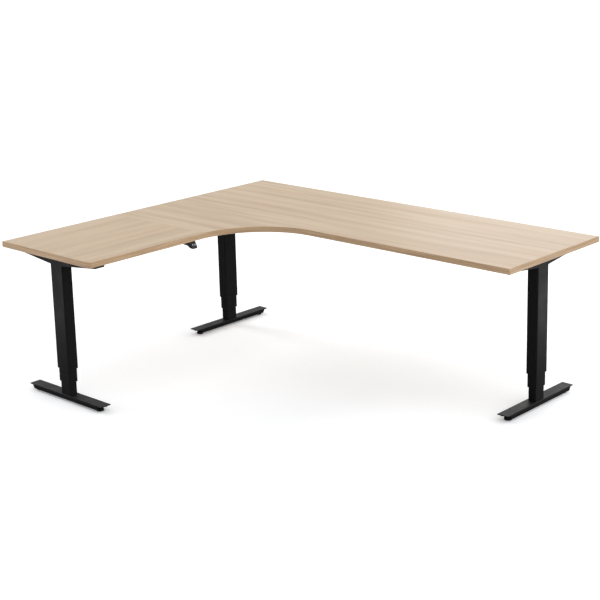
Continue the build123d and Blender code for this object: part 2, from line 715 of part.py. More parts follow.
def frame_bolts():
    """Bolts of the rail flanges: through the bracket cheeks, and into the front rail."""
    through = bolt(BRACKET_SHEET + RAIL_FLANGE)
    cheek_spots = [Pos(x, CHEEK_GAP / 2, RAIL_AXIS_Z) * Rot(X=-90) for x in flange_bolt_spots()]
    bolts = [leg * spot * through for leg in LEGS.values() for spot in cheek_spots]
    bolts += [spot * bolt(RAIL_FLANGE + RAIL_WALL) for spot in wing_rail_bolts()]
    return group(bolts)


def foot_bolts():
    """Bolts from below through every foot into its column."""
    one = bolt(FOOT_SHEET + BASE_PLUG)
    return group(leg * spot * one for leg in LEGS.values() for spot in foot_bolt_spots())


def leg_pieces():
    """Every piece of one leg, in the leg's frame."""
    return {
        "top_bracket": top_bracket(),
        "gearmotor": gearmotor(),
        "drive_rod": drive_rod(),
        "outer_tube": outer_tube(),
        "outer_glide": mouth_glide(0, OUTER_BOTTOM),
        "middle_tube": middle_tube(),
        "middle_glides": group([mouth_glide(1, MIDDLE_BOTTOM), head_glide(1, MIDDLE_TOP)]),
        "hollow_screw": hollow_screw(),
        "inner_tube": inner_tube(),
        "inner_glide": head_glide(2, INNER_TOP),
        "nut_tube": nut_tube(),
        "foot": foot(),
        "levelling_foot_a": levelling_foot(-1),
        "levelling_foot_b": levelling_foot(1),
    }


def desk():
    """All nodes of the desk by name."""
    core = worktop_core()
    band = worktop_band()
    nodes = {
        "corner_panel": cut_at_seam(core, Keep.TOP),
        "wing_panel": cut_at_seam(core, Keep.BOTTOM),
        "corner_edge_band": cut_at_seam(band, Keep.TOP),
        "wing_edge_band": cut_at_seam(band, Keep.BOTTOM),
        "seam_plates": group(spot * seam_plate() for spot in seam_plate_spots()),
        "seam_tongue": seam_tongue(),
        "front_rail": front_rail(),
        "rear_rail": main_rail(1),
        "wing_outer_rail": wing_rail(-1),
        "wing_inner_rail": wing_rail(1),
        "control_box_tray": control_box_tray(),
        "control_box_cover": control_box_cover(),
        "handset": handset(),
        "up_button": handset_button(1),
        "down_button": handset_button(-1),
        "worktop_screws": worktop_screws(),
        "frame_bolts": frame_bolts(),
        "foot_bolts": foot_bolts(),
    }
    pieces = leg_pieces()
    for leg, place in LEGS.items():
        for name, piece in pieces.items():
            nodes[f"{leg}_{name}"] = place * piece
    return nodes


os.makedirs("parts", exist_ok=True)
for node, shape in desk().items():
    export_step(shape, f"parts/{node}.step")
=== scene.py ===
import json
import math

import bmesh
import bpy
from mathutils import Euler, Matrix, Vector


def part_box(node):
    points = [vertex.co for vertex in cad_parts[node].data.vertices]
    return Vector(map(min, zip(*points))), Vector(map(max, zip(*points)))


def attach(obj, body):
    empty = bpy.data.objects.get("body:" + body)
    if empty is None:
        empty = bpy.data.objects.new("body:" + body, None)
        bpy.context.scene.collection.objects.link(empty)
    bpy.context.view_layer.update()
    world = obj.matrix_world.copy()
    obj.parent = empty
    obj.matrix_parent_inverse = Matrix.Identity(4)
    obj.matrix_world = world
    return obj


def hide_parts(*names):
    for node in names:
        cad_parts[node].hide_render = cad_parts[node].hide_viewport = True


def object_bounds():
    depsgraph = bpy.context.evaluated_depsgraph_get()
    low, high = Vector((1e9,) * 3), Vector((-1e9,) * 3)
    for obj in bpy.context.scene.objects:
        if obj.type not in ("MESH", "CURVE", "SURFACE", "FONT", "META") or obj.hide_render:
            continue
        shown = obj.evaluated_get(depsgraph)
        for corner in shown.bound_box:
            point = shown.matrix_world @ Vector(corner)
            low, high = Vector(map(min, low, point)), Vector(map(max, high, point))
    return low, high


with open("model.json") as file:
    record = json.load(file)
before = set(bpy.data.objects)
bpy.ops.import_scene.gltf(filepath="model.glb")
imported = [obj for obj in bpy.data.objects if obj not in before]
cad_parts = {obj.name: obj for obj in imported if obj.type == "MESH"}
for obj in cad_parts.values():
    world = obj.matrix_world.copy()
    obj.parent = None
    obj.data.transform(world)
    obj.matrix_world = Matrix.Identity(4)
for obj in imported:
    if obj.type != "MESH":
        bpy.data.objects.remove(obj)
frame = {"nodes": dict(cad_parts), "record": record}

# Looks of the corner sit-stand desk. Metres, +X along the main wing, +Y to the back edge, +Z up.
cad_low, cad_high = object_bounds()
MM = 0.001
LEGS = ("left", "corner", "right")
TOUCH = 0.1 * MM                  # points closer than this lie on the same edge or face
MERGE = 0.001 * MM                # points closer than this become one
SHARP_ANGLE = math.radians(35)    # an edge that turns by more than this is shaded sharp

# Worktop, as the boards are cut
MAIN_WING_DEPTH = 665 * MM
SIDE_WING_DEPTH = 600 * MM
INNER_CURVE_RADIUS = 340 * MM
END_CORNER_RADIUS = 18 * MM
EDGE_BAND = 2 * MM
EDGE_ROUND = 1 * MM

# Feet
FOOT_SHEET = 4 * MM
FOOT_FOLD = 2 * MM
FOOT_LIP = 18 * MM                # top plate beyond the folded sides
FOOT_BEVEL = 10 * MM              # slope of the sides' ends
WELD_NUT_SIDES = 6
WELD_NUT_RADIUS = 8 * MM
WELD_NUT_BORE = 4.3 * MM          # radius of the hole for the stem
WELD_NUT_GAP = 0.3 * MM           # from the nut down to the pad

# Levelling pads
PAD_RADIUS = 16.4 * MM
PAD_HEIGHT = 10 * MM
PAD_RIM = ((1.5, 0.0), (0.4, 0.5), (0.0, 1.6))                  # mm in from the radius, mm above the floor
PAD_CROWN = ((0.0, 2.6), (0.8, 1.2), (3.0, 0.4), (9.0, 0.0))    # mm in from the radius, mm below the top
PAD_STEPS = 48
PAD_FLUTE = 0.6 * MM
FLUTE_EVERY = 3                   # steps from one flute to the next
STEM_RADIUS = 3.6 * MM
THREAD_PITCH = 1.25 * MM
THREAD_DEPTH = 0.4 * MM

# Handset, in the side view from the worktop's edge
HANDSET_BODY = 20 * MM
HANDSET_TAIL = 16 * MM
HANDSET_NOSE = 32 * MM
HANDSET_SETBACK = 8 * MM
HANDSET_LEAN = 18 * MM
HANDSET_NOSE_DEPTH = 14 * MM
HANDSET_HOLLOW = 5 * MM
HANDSET_CORNER = 8 * MM
HANDSET_RIM = 2 * MM
RIM_ANGLE = math.radians(30)      # the housing's edges that turn by more than this are rounded
PANEL_INSET = 1.2 * MM
PANEL_RECESS = 0.4 * MM
BUTTON_WIDTH = 11 * MM
BUTTON_HEIGHT = 17 * MM
BUTTON_PITCH = 12.5 * MM
BUTTON_DEPTH = 3 * MM
BUTTON_PROUD = 1 * MM
BUTTON_ROUND = 2.5 * MM
BUTTON_EASE = 0.6 * MM
BUTTON_CLEARANCE = 0.3 * MM
WELL_DEPTH = 3.2 * MM
ARROW_WIDTH = 6.5 * MM
ARROW_HEIGHT = 5.2 * MM
ARROW_THICKNESS = 0.15 * MM

# Camera and light
CAMERA_PLACE = (3.970, -4.217, 2.134)
CAMERA_TURN = (76.38, 1.3, 42.30)
CAMERA_LENS = 83.2
CAMERA_SHIFT = (-0.02, -0.12)
FLOOR_REACH = 60                  # metres each way
SURROUND_RISE = (-0.05, 0.40)     # heights between which the surround grows to its full strength
SURROUND_STRENGTH = 0.93
BRIGHT_SIDE = (0.50, 0.75, 0.0)   # the surround is brightest towards the back right
FLOOR_GLOW = 0.08                 # what reflections find below the horizon


# Finishes

def linear(hex_colour):
    """Linear RGBA of an sRGB colour such as "d8c4a8"."""
    channels = [int(hex_colour[i:i + 2], 16) / 255 for i in (0, 2, 4)]
    decoded = [c / 12.92 if c <= 0.04045 else ((c + 0.055) / 1.055) ** 2.4 for c in channels]
    return (*decoded, 1.0)


def add_node(tree, kind, inputs=None, stops=(), **settings):
    """Adds a node with its settings, gives its inputs values or links, and a ramp its colour stops."""
    made = tree.nodes.new(kind)
    for name, value in settings.items():
        setattr(made, name, value)
    for socket, value in (inputs or {}).items():
        if isinstance(value, bpy.types.NodeSocket):
            tree.links.new(value, made.inputs[socket])
        else:
            made.inputs[socket].default_value = value
    for index, (position, hex_colour) in enumerate(stops):
        made.color_ramp.elements[index].position = position
        made.color_ramp.elements[index].color = linear(hex_colour)
    return made


def new_material(name):
    """Empty material with its tree, and the object coordinates that every pattern reads."""
    material = bpy.data.materials.new(name)
    material.use_nodes = True
    tree = material.node_tree
    tree.nodes.clear()
    place = add_node(tree, "ShaderNodeTexCoord").outputs["Object"]
    return material, tree, place


def one_per(*sizes):
    """Scale at which a feature of the given size in metres, along each axis, is one unit long."""
    return tuple(1 / size for size in sizes)


def along_grain(axis, length, width):
    """Scale for features of a length and width in metres that run along X or Y."""
    return one_per(length, width, width) if axis == "X" else one_per(width, length, width)


def oak_melamine(name, axis):
    """Melamine-faced chipboard: printed oak paper pressed between satin plates. Pale tan ground, soft darker
    streaks some centimetres wide along the board, a few warmer bands, faint fibres and short fine pores."""
    material, tree, place = new_material(name)
    drift = add_node(tree, "ShaderNodeTexNoise", {"Vector": place, "Scale": 1 / (588 * MM), "Detail": 1.0})
    sway = add_node(tree, "ShaderNodeVectorMath", {0: drift.outputs["Color"], 1: (16 * MM, 16 * MM, 0)},
                    operation="MULTIPLY")
    grain = add_node(tree, "ShaderNodeVectorMath", {0: place, 1: sway.outputs["Vector"]}).outputs["Vector"]
    streak_place = add_node(tree, "ShaderNodeMapping", {
        "Vector": grain, "Scale": along_grain(axis, 1200 * MM, 46 * MM)})
    streaks = add_node(tree, "ShaderNodeTexNoise", {
        "Vector": streak_place.outputs["Vector"], "Scale": 1.0, "Detail": 2.0, "Roughness": 0.5})
    fibre_place = add_node(tree, "ShaderNodeMapping", {
        "Vector": grain, "Scale": along_grain(axis, 260 * MM, 9 * MM)})
    fibres = add_node(tree, "ShaderNodeTexNoise", {
        "Vector": fibre_place.outputs["Vector"], "Scale": 1.0, "Detail": 2.0, "Roughness": 0.6})
    # Real pores are 0.3 mm wide; drawn at 1.2 mm so that they show.
    pore_place = add_node(tree, "ShaderNodeMapping", {
        "Vector": grain, "Scale": along_grain(axis, 38 * MM, 1.2 * MM)})
    pores = add_node(tree, "ShaderNodeTexNoise", {
        "Vector": pore_place.outputs["Vector"], "Scale": 1.0, "Detail": 1.0})
    tone = add_node(tree, "ShaderNodeMix", {
        "Factor": 0.35, "A": streaks.outputs["Fac"], "B": fibres.outputs["Fac"]}, data_type="FLOAT")
    ground = add_node(tree, "ShaderNodeValToRGB", {"Fac": tone.outputs["Result"]},
                      stops=((0.26, "a99074"), (0.58, "c2ae94")))
    # The bands are moved aside, so that they don't follow the streaks.
    band_place = add_node(tree, "ShaderNodeMapping", {
        "Vector": grain, "Location": (3.1, 5.7, 0.0), "Scale": along_grain(axis, 900 * MM, 70 * MM)})
    bands = add_node(tree, "ShaderNodeTexNoise", {
        "Vector": band_place.outputs["Vector"], "Scale": 1.0, "Detail": 1.0})
    band_mask = add_node(tree, "ShaderNodeMapRange", {
        "Value": bands.outputs["Fac"], "From Min": 0.52, "From Max": 0.70, "To Min": 0.0, "To Max": 0.25})
    warmed = add_node(tree, "ShaderNodeMix", {
        "Factor": band_mask.outputs["Result"], "A": ground.outputs["Color"], "B": linear("c09f7f")},
        data_type="RGBA")
    pore_mask = add_node(tree, "ShaderNodeMapRange", {
        "Value": pores.outputs["Fac"], "From Min": 0.60, "From Max": 0.72, "To Min": 0.0, "To Max": 0.25})
    colour = add_node(tree, "ShaderNodeMix", {
        "Factor": pore_mask.outputs["Result"], "A": warmed.outputs["Result"], "B": linear("a88c6c")},
        data_type="RGBA")
    bump = add_node(tree, "ShaderNodeBump", {
        "Height": pores.outputs["Fac"], "Strength": 0.12, "Distance": 0.2 * MM}, invert=True)
    sheen = add_node(tree, "ShaderNodeMapRange", {
        "Value": fibres.outputs["Fac"], "To Min": 0.42, "To Max": 0.54})
    shader = add_node(tree, "ShaderNodeBsdfPrincipled", {
        "Base Color": colour.outputs["Result"], "Roughness": sheen.outputs["Result"], "IOR": 1.5,
        "Specular IOR Level": 0.4, "Normal": bump.outputs["Normal"]})
    add_node(tree, "ShaderNodeOutputMaterial", {"Surface": shader.outputs["BSDF"]})
    return material


def oak_edge_band():
    """ABS edge strip, extruded and printed with oak: browner than the top, with lines along its length."""
    material, tree, place = new_material("oak_edge_band")
    line_place = add_node(tree, "ShaderNodeMapping", {
        "Vector": place, "Scale": one_per(240 * MM, 240 * MM, 5 * MM)})
    lines = add_node(tree, "ShaderNodeTexNoise", {
        "Vector": line_place.outputs["Vector"], "Scale": 1.0, "Detail": 4.0, "Roughness": 0.6})
    ground = add_node(tree, "ShaderNodeValToRGB", {"Fac": lines.outputs["Fac"]},
                      stops=((0.34, "a38564"), (0.64, "bd9f7e")))
    bump = add_node(tree, "ShaderNodeBump", {
        "Height": lines.outputs["Fac"], "Strength": 0.1, "Distance": 0.2 * MM})
    shader = add_node(tree, "ShaderNodeBsdfPrincipled", {
        "Base Color": ground.outputs["Color"], "Roughness": 0.48, "Specular IOR Level": 0.35,
        "Normal": bump.outputs["Normal"]})
    add_node(tree, "ShaderNodeOutputMaterial", {"Surface": shader.outputs["BSDF"]})
    return material


def black_powder_coat():
    """Polyester powder sprayed and baked on steel: satin black with a fine pebbled skin."""
    material, tree, place = new_material("black_powder_coat")
    # The real pebble is about 0.5 mm; drawn at 1.6 mm so that it shows.
    pebble_place = add_node(tree, "ShaderNodeMapping", {"Vector": place, "Scale": one_per(*[1.6 * MM] * 3)})
    pebble = add_node(tree, "ShaderNodeTexNoise", {
        "Vector": pebble_place.outputs["Vector"], "Scale": 1.0, "Detail": 2.0})
    cloud_place = add_node(tree, "ShaderNodeMapping", {"Vector": place, "Scale": one_per(*[90 * MM] * 3)})
    cloud = add_node(tree, "ShaderNodeTexNoise", {
        "Vector": cloud_place.outputs["Vector"], "Scale": 1.0, "Detail": 2.0})
    ground = add_node(tree, "ShaderNodeValToRGB", {"Fac": pebble.outputs["Fac"]},
                      stops=((0.3, "0b0b0c"), (0.7, "131314")))
    gloss = add_node(tree, "ShaderNodeMapRange", {
        "Value": cloud.outputs["Fac"], "From Min": 0.3, "From Max": 0.7, "To Min": 0.50, "To Max": 0.60})
    bump = add_node(tree, "ShaderNodeBump", {
        "Height": pebble.outputs["Fac"], "Strength": 0.10, "Distance": 0.3 * MM})
    shader = add_node(tree, "ShaderNodeBsdfPrincipled", {
        "Base Color": ground.outputs["Color"], "Roughness": gloss.outputs["Result"], "IOR": 1.5,
        "Specular IOR Level": 0.25, "Normal": bump.outputs["Normal"]})
    add_node(tree, "ShaderNodeOutputMaterial", {"Surface": shader.outputs["BSDF"]})
    return material


def moulded_plastic(name, dark, light, rough, grit):
    """Plastic moulded, printed or lacquered with a skin of the given grit. A real skin of some tenths of a
    millimetre is drawn at about one, so that it shows."""
    material, tree, place = new_material(name)
    skin_place = add_node(tree, "ShaderNodeMapping", {"Vector": place, "Scale": one_per(grit, grit, grit)})
    skin = add_node(tree, "ShaderNodeTexNoise", {
        "Vector": skin_place.outputs["Vector"], "Scale": 1.0, "Detail": 2.0})
    ground = add_node(tree, "ShaderNodeValToRGB", {"Fac": skin.outputs["Fac"]},
                      stops=((0.35, dark), (0.65, light)))
    gloss = add_node(tree, "ShaderNodeMapRange", {
        "Value": skin.outputs["Fac"], "To Min": rough - 0.06, "To Max": rough + 0.06})
    bump = add_node(tree, "ShaderNodeBump", {
        "Height": skin.outputs["Fac"], "Strength": 0.15, "Distance": 0.1 * MM})
    shader = add_node(tree, "ShaderNodeBsdfPrincipled", {
        "Base Color": ground.outputs["Color"], "Roughness": gloss.outputs["Result"], "IOR": 1.5,
        "Specular IOR Level": 0.4, "Normal": bump.outputs["Normal"]})
    add_node(tree, "ShaderNodeOutputMaterial", {"Surface": shader.outputs["BSDF"]})
    return material


def steel(name, dark, light, rough, marks_size):
    """Bare or plated steel with marks of the given size, such as rolling lines or plating bloom."""
    material, tree, place = new_material(name)
    mark_place = add_node(tree, "ShaderNodeMapping", {"Vector": place, "Scale": one_per(*marks_size)})
    marks = add_node(tree, "ShaderNodeTexNoise", {
        "Vector": mark_place.outputs["Vector"], "Scale": 1.0, "Detail": 3.0, "Roughness": 0.6})
    ground = add_node(tree, "ShaderNodeValToRGB", {"Fac": marks.outputs["Fac"]},
                      stops=((0.3, dark), (0.7, light)))
    gloss = add_node(tree, "ShaderNodeMapRange", {
        "Value": marks.outputs["Fac"], "To Min": rough - 0.08, "To Max": rough + 0.08})
    bump = add_node(tree, "ShaderNodeBump", {
        "Height": marks.outputs["Fac"], "Strength": 0.08, "Distance": 0.1 * MM})
    shader = add_node(tree, "ShaderNodeBsdfPrincipled", {
        "Base Color": ground.outputs["Color"], "Metallic": 1.0, "Roughness": gloss.outputs["Result"],
        "Normal": bump.outputs["Normal"]})
    add_node(tree, "ShaderNodeOutputMaterial", {"Surface": shader.outputs["BSDF"]})
    return material


def birch_plywood():
    """Birch plywood, sawn and left bare: pale and darker layers through its thickness."""
    material, tree, place = new_material("birch_plywood")
    layers = add_node(tree, "ShaderNodeTexWave", {
        "Vector": place, "Scale": 1 / (12 * MM), "Distortion": 0.4}, bands_direction="Z")
    ground = add_node(tree, "ShaderNodeValToRGB", {"Fac": layers.outputs["Fac"]},
                      stops=((0.0, "c09a68"), (1.0, "dcc093")))
    shader = add_node(tree, "ShaderNodeBsdfPrincipled", {
        "Base Color": ground.outputs["Color"], "Roughness": 0.7})
    add_node(tree, "ShaderNodeOutputMaterial", {"Surface": shader.outputs["BSDF"]})
    return material


def studio_floor():
    """Seamless white paper, lifted a little so that it fades into the background."""
    material, tree, place = new_material("studio_floor")
    fibre = add_node(tree, "ShaderNodeTexNoise", {"Vector": place, "Scale": 1 / (333 * MM), "Detail": 2.0})
    ground = add_node(tree, "ShaderNodeValToRGB", {"Fac": fibre.outputs["Fac"]},
                      stops=((0.0, "f1f3f6"), (1.0, "f3f5f8")))
    shader = add_node(tree, "ShaderNodeBsdfPrincipled", {
        "Base Color": ground.outputs["Color"], "Roughness": 0.9, "Specular IOR Level": 0.0,
        "Emission Color": (1, 1, 1, 1), "Emission Strength": 0.23})
    add_node(tree, "ShaderNodeOutputMaterial", {"Surface": shader.outputs["BSDF"]})
    return material


# Small mesh tools

def box_of(node):
    """Lowest corner, highest corner and centre of a node of the frame."""
    low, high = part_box(node)
    return low, high, (low + high) / 2


def show(name, bm, material, body, replaced=()):
    """Turns a bmesh into a piece that rides on a body, smooth except at its sharp edges."""
    bmesh.ops.recalc_face_normals(bm, faces=bm.faces)
    for face in bm.faces:
        face.smooth = True
    for edge in bm.edges:
        edge.smooth = len(edge.link_faces) == 2 and edge.calc_face_angle() < SHARP_ANGLE
    mesh = bpy.data.meshes.new(name)
    bm.to_mesh(mesh)
    bm.free()
    mesh.materials.append(material)
    piece = bpy.data.objects.new(name, mesh)
    bpy.context.scene.collection.objects.link(piece)
    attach(piece, body)
    if replaced:
        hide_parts(*replaced)


def flat_face(bm, points):
    """One face through a few corner points."""
    return bm.faces.new([bm.verts.new(point) for point in points])


def round_corner(bm, place, radius, segments):
    """Rounds the corner of a flat outline that lies nearest to a place."""
    corner = min(bm.verts, key=lambda vert: (vert.co - Vector(place)).length)
    bmesh.ops.bevel(bm, geom=[corner], affect="VERTICES", offset=radius, offset_type="OFFSET",
                    segments=segments, profile=0.5, material=-1, clamp_overlap=False)


def thicken(bm, travel):
    """Extrudes every face of a sheet along a vector into a closed body."""
    made = bmesh.ops.extrude_face_region(bm, geom=bm.faces[:])
    moved = [item for item in made["geom"] if isinstance(item, bmesh.types.BMVert)]
    bmesh.ops.translate(bm, verts=moved, vec=travel)
    bmesh.ops.recalc_face_normals(bm, faces=bm.faces)


def ease(bm, edges, width, segments):
    """Rounds a set of edges."""
    bmesh.ops.bevel(bm, geom=edges, affect="EDGES", offset=width, offset_type="OFFSET",
                    segments=segments, profile=0.5, material=-1, clamp_overlap=False)


def slice_faces(bm, faces, place, point, normal):
    """Cuts a set of faces along a plane given in a piece's own frame; gives back all the parts."""
    parts = set(faces)
    for face in faces:
        parts.update(face.edges)
        parts.update(face.verts)
    cut = bmesh.ops.bisect_plane(bm, geom=list(parts), plane_co=place @ Vector(point),
                                 plane_no=place.to_3x3() @ Vector(normal))
    return [item for item in cut["geom"] if isinstance(item, bmesh.types.BMFace)]


def middle_of(edge):
    """Middle point of an edge."""
    return (edge.verts[0].co + edge.verts[1].co) / 2


def length_along(edge, axis):
    """Length of an edge along one axis."""
    return abs(getattr(edge.verts[0].co, axis) - getattr(edge.verts[1].co, axis))


def lathe(bm, profile, steps, axis_x=0):
    """Turns a profile of (radius, height) points about an upright axis."""
    verts = [bm.verts.new((axis_x + radius, 0, height)) for radius, height in profile]
    edges = [bm.edges.new(pair) for pair in zip(verts, verts[1:])]
    bmesh.ops.spin(bm, geom=verts + edges, cent=(axis_x, 0, 0), axis=(0, 0, 1), angle=math.tau,
                   steps=steps, use_merge=True)
    bmesh.ops.remove_doubles(bm, verts=bm.verts, dist=MERGE)


# Worktop edges

def edge_band(name, node, material, keep_back):
    """Band round one board: the whole outline with eased edges, cut off at the seam."""
    low, high, _ = box_of(node)
    main_front = cad_high.y - MAIN_WING_DEPTH
    wing_inner = cad_low.x + SIDE_WING_DEPTH
    bm = bmesh.new()
    flat_face(bm, [
        (cad_low.x, cad_high.y, high.z),
        (cad_high.x, cad_high.y, high.z),
        (cad_high.x, main_front, high.z),
        (wing_inner, main_front, high.z),
        (wing_inner, cad_low.y, high.z),
        (cad_low.x, cad_low.y, high.z),
    ])
    round_corner(bm, (wing_inner, main_front, high.z), INNER_CURVE_RADIUS, segments=48)
    round_corner(bm, (wing_inner, cad_low.y, high.z), END_CORNER_RADIUS, segments=12)
    rim = bm.verts.layers.int.new("rim")
    for vert in bm.verts:
        vert[rim] = 1
    board = bm.faces[:]
    bmesh.ops.inset_region(bm, faces=board, thickness=EDGE_BAND, use_even_offset=True, use_boundary=True)
    inside = [vert for face in board for vert in face.verts]
    for vert in inside:
        vert[rim] = 0
    bmesh.ops.delete(bm, geom=board, context="FACES_ONLY")
    thicken(bm, (0, 0, low.z - high.z))
    outer = [edge for edge in bm.edges
             if all(vert[rim] for vert in edge.verts) and length_along(edge, "z") < TOUCH]
    ease(bm, outer, EDGE_ROUND, segments=3)
    seam = low.y if keep_back else high.y
    bmesh.ops.bisect_plane(bm, geom=bm.verts[:] + bm.edges[:] + bm.faces[:], plane_co=(0, seam, 0),
                           plane_no=(0, 1, 0), clear_inner=keep_back, clear_outer=not keep_back)
    bmesh.ops.holes_fill(bm, edges=[edge for edge in bm.edges if edge.is_boundary], sides=0)
    show(name, bm, material, "worktop", (node,))


# Feet

def foot_channel(leg, material):
    """Folded channel: a top plate that runs past its two bevelled sides, with a weld nut over each pad."""
    low, high, centre = box_of(f"{leg}_foot")
    pad_centre = box_of(f"{leg}_levelling_foot_a")[2]
    runs_along_y = high.y - low.y > high.x - low.x
    half_wide, half_long = sorted(((high.x - low.x) / 2, (high.y - low.y) / 2))
    plate_low = high.z - FOOT_SHEET
    wall_end = half_long - FOOT_LIP
    wall_inside = half_wide - FOOT_SHEET
    bm = bmesh.new()
    plate = [flat_face(bm, [
        (-half_long, -half_wide, plate_low),
        (half_long, -half_wide, plate_low),
        (half_long, half_wide, plate_low),
        (-half_long, half_wide, plate_low),
    ])]
    for normal, reach in (((1, 0, 0), wall_end), ((0, 1, 0), wall_inside)):
        for side in (-reach, reach):
            plate = slice_faces(bm, plate, Matrix(), Vector(normal) * side, normal)
    thicken(bm, (0, 0, FOOT_SHEET))
    strips = [face for face in plate if abs(face.calc_center_median().x) < wall_end
              and abs(face.calc_center_median().y) > wall_inside]
    walls = bmesh.ops.extrude_face_region(bm, geom=strips)["geom"]
    bmesh.ops.delete(bm, geom=strips, context="FACES_ONLY")
    for item in walls:
        if isinstance(item, bmesh.types.BMVert):
            item.co.x -= math.copysign(FOOT_BEVEL, item.co.x)
            item.co.z = low.z
    folds = [edge for edge in bm.edges if all(
        vert.co.z > high.z - TOUCH and abs(vert.co.y) > half_wide - TOUCH for vert in edge.verts)]
    ease(bm, folds, FOOT_FOLD, segments=4)
    nut_low = low.z + WELD_NUT_GAP
    nut = [
        (WELD_NUT_BORE, nut_low),
        (WELD_NUT_RADIUS, nut_low),
        (WELD_NUT_RADIUS, plate_low),
        (WELD_NUT_BORE, plate_low),
        (WELD_NUT_BORE, nut_low),
    ]
    pad_reach = (pad_centre - centre).xy.length
    for axis_x in (-pad_reach, pad_reach):
        lathe(bm, nut, WELD_NUT_SIDES, axis_x)
    turn = Matrix.Rotation(math.pi / 2 if runs_along_y else 0, 4, "Z")
    bmesh.ops.transform(bm, verts=bm.verts, matrix=Matrix.Translation((centre.x, centre.y, 0)) @ turn)
    show(f"{leg}_foot_channel", bm, material, "base", (f"{leg}_foot",))


def levelling_pad(node, material):
    """Fluted nylon pad with its threaded stem."""
    low, high, centre = box_of(node)
    top = high.z - low.z
    profile = [(0, 0)]
    profile += [(PAD_RADIUS - inset * MM, height * MM) for inset, height in PAD_RIM]
    profile += [(PAD_RADIUS - inset * MM, PAD_HEIGHT - depth * MM) for inset, depth in PAD_CROWN]
    profile.append((STEM_RADIUS, PAD_HEIGHT))
    for turn in range(int((top - PAD_HEIGHT) / THREAD_PITCH)):
        start = PAD_HEIGHT + turn * THREAD_PITCH
        profile.append((STEM_RADIUS - THREAD_DEPTH, start + THREAD_PITCH / 4))
        profile.append((STEM_RADIUS, start + THREAD_PITCH * 3 / 4))
    profile += [(STEM_RADIUS - THREAD_DEPTH, top), (0, top)]
    bm = bmesh.new()
    lathe(bm, profile, PAD_STEPS)
    for vert in bm.verts:
        step = round(math.atan2(vert.co.y, vert.co.x) / math.tau * PAD_STEPS)
        radius = vert.co.xy.length
        if radius > PAD_RADIUS - TOUCH and step % FLUTE_EVERY == 0:
            vert.co.x *= 1 - PAD_FLUTE / radius
            vert.co.y *= 1 - PAD_FLUTE / radius
    bmesh.ops.translate(bm, verts=bm.verts, vec=(centre.x, centre.y, low.z))
    show(f"{node}_fluted", bm, material, node, (node,))


# Handset

def handset_edge():
    """Worktop edge above the middle of the handset."""
    _, high, centre = box_of("handset")
    return Vector((cad_low.x + SIDE_WING_DEPTH, centre.y, high.z))


def face_frame():
    """Matrix from the handset's leaning face (X across, Y up the face, Z out of it) to the desk."""
    up = Vector((-HANDSET_LEAN, 0, HANDSET_NOSE)).normalized()
    out = Vector((HANDSET_NOSE, 0, HANDSET_LEAN)).normalized()
    across = up.cross(out)
    middle = handset_edge() + Vector((HANDSET_LEAN / 2 - HANDSET_SETBACK, 0, -HANDSET_NOSE / 2))
    turn = Matrix((across, up, out)).transposed().to_4x4()
    return Matrix.Translation(middle) @ turn


def sink_wells(bm, panel, place):
    """Sinks a well with rounded corners for each button into the panel of the handset's face."""
    half_wide = BUTTON_WIDTH / 2 + BUTTON_CLEARANCE
    half_high = BUTTON_HEIGHT / 2 + BUTTON_CLEARANCE
    to_face = place.inverted()
    parts = [panel]
    for middle in (-BUTTON_PITCH / 2, BUTTON_PITCH / 2):
        for side in (-half_wide, half_wide):
            parts = slice_faces(bm, parts, place, (middle + side, 0, 0), (1, 0, 0))
    columns = [face for face in parts
               if abs(abs((to_face @ face.calc_center_median()).x) - BUTTON_PITCH / 2) < half_wide]
    for end in (-half_high, half_high):
        columns = slice_faces(bm, columns, place, (0, end, 0), (0, 1, 0))
    wells = [face for face in columns if abs((to_face @ face.calc_center_median()).y) < half_high]
    inward = place.to_3x3() @ Vector((0, 0, PANEL_RECESS - WELL_DEPTH))
    upright = []
    for well in wells:
        floor = bmesh.ops.extrude_discrete_faces(bm, faces=[well])["faces"][0]
        bmesh.ops.translate(bm, verts=floor.verts, vec=inward)
        upright += [edge for vert in floor.verts for edge in vert.link_edges if edge not in floor.edges[:]]
    ease(bm, upright, BUTTON_ROUND + BUTTON_CLEARANCE, segments=6)


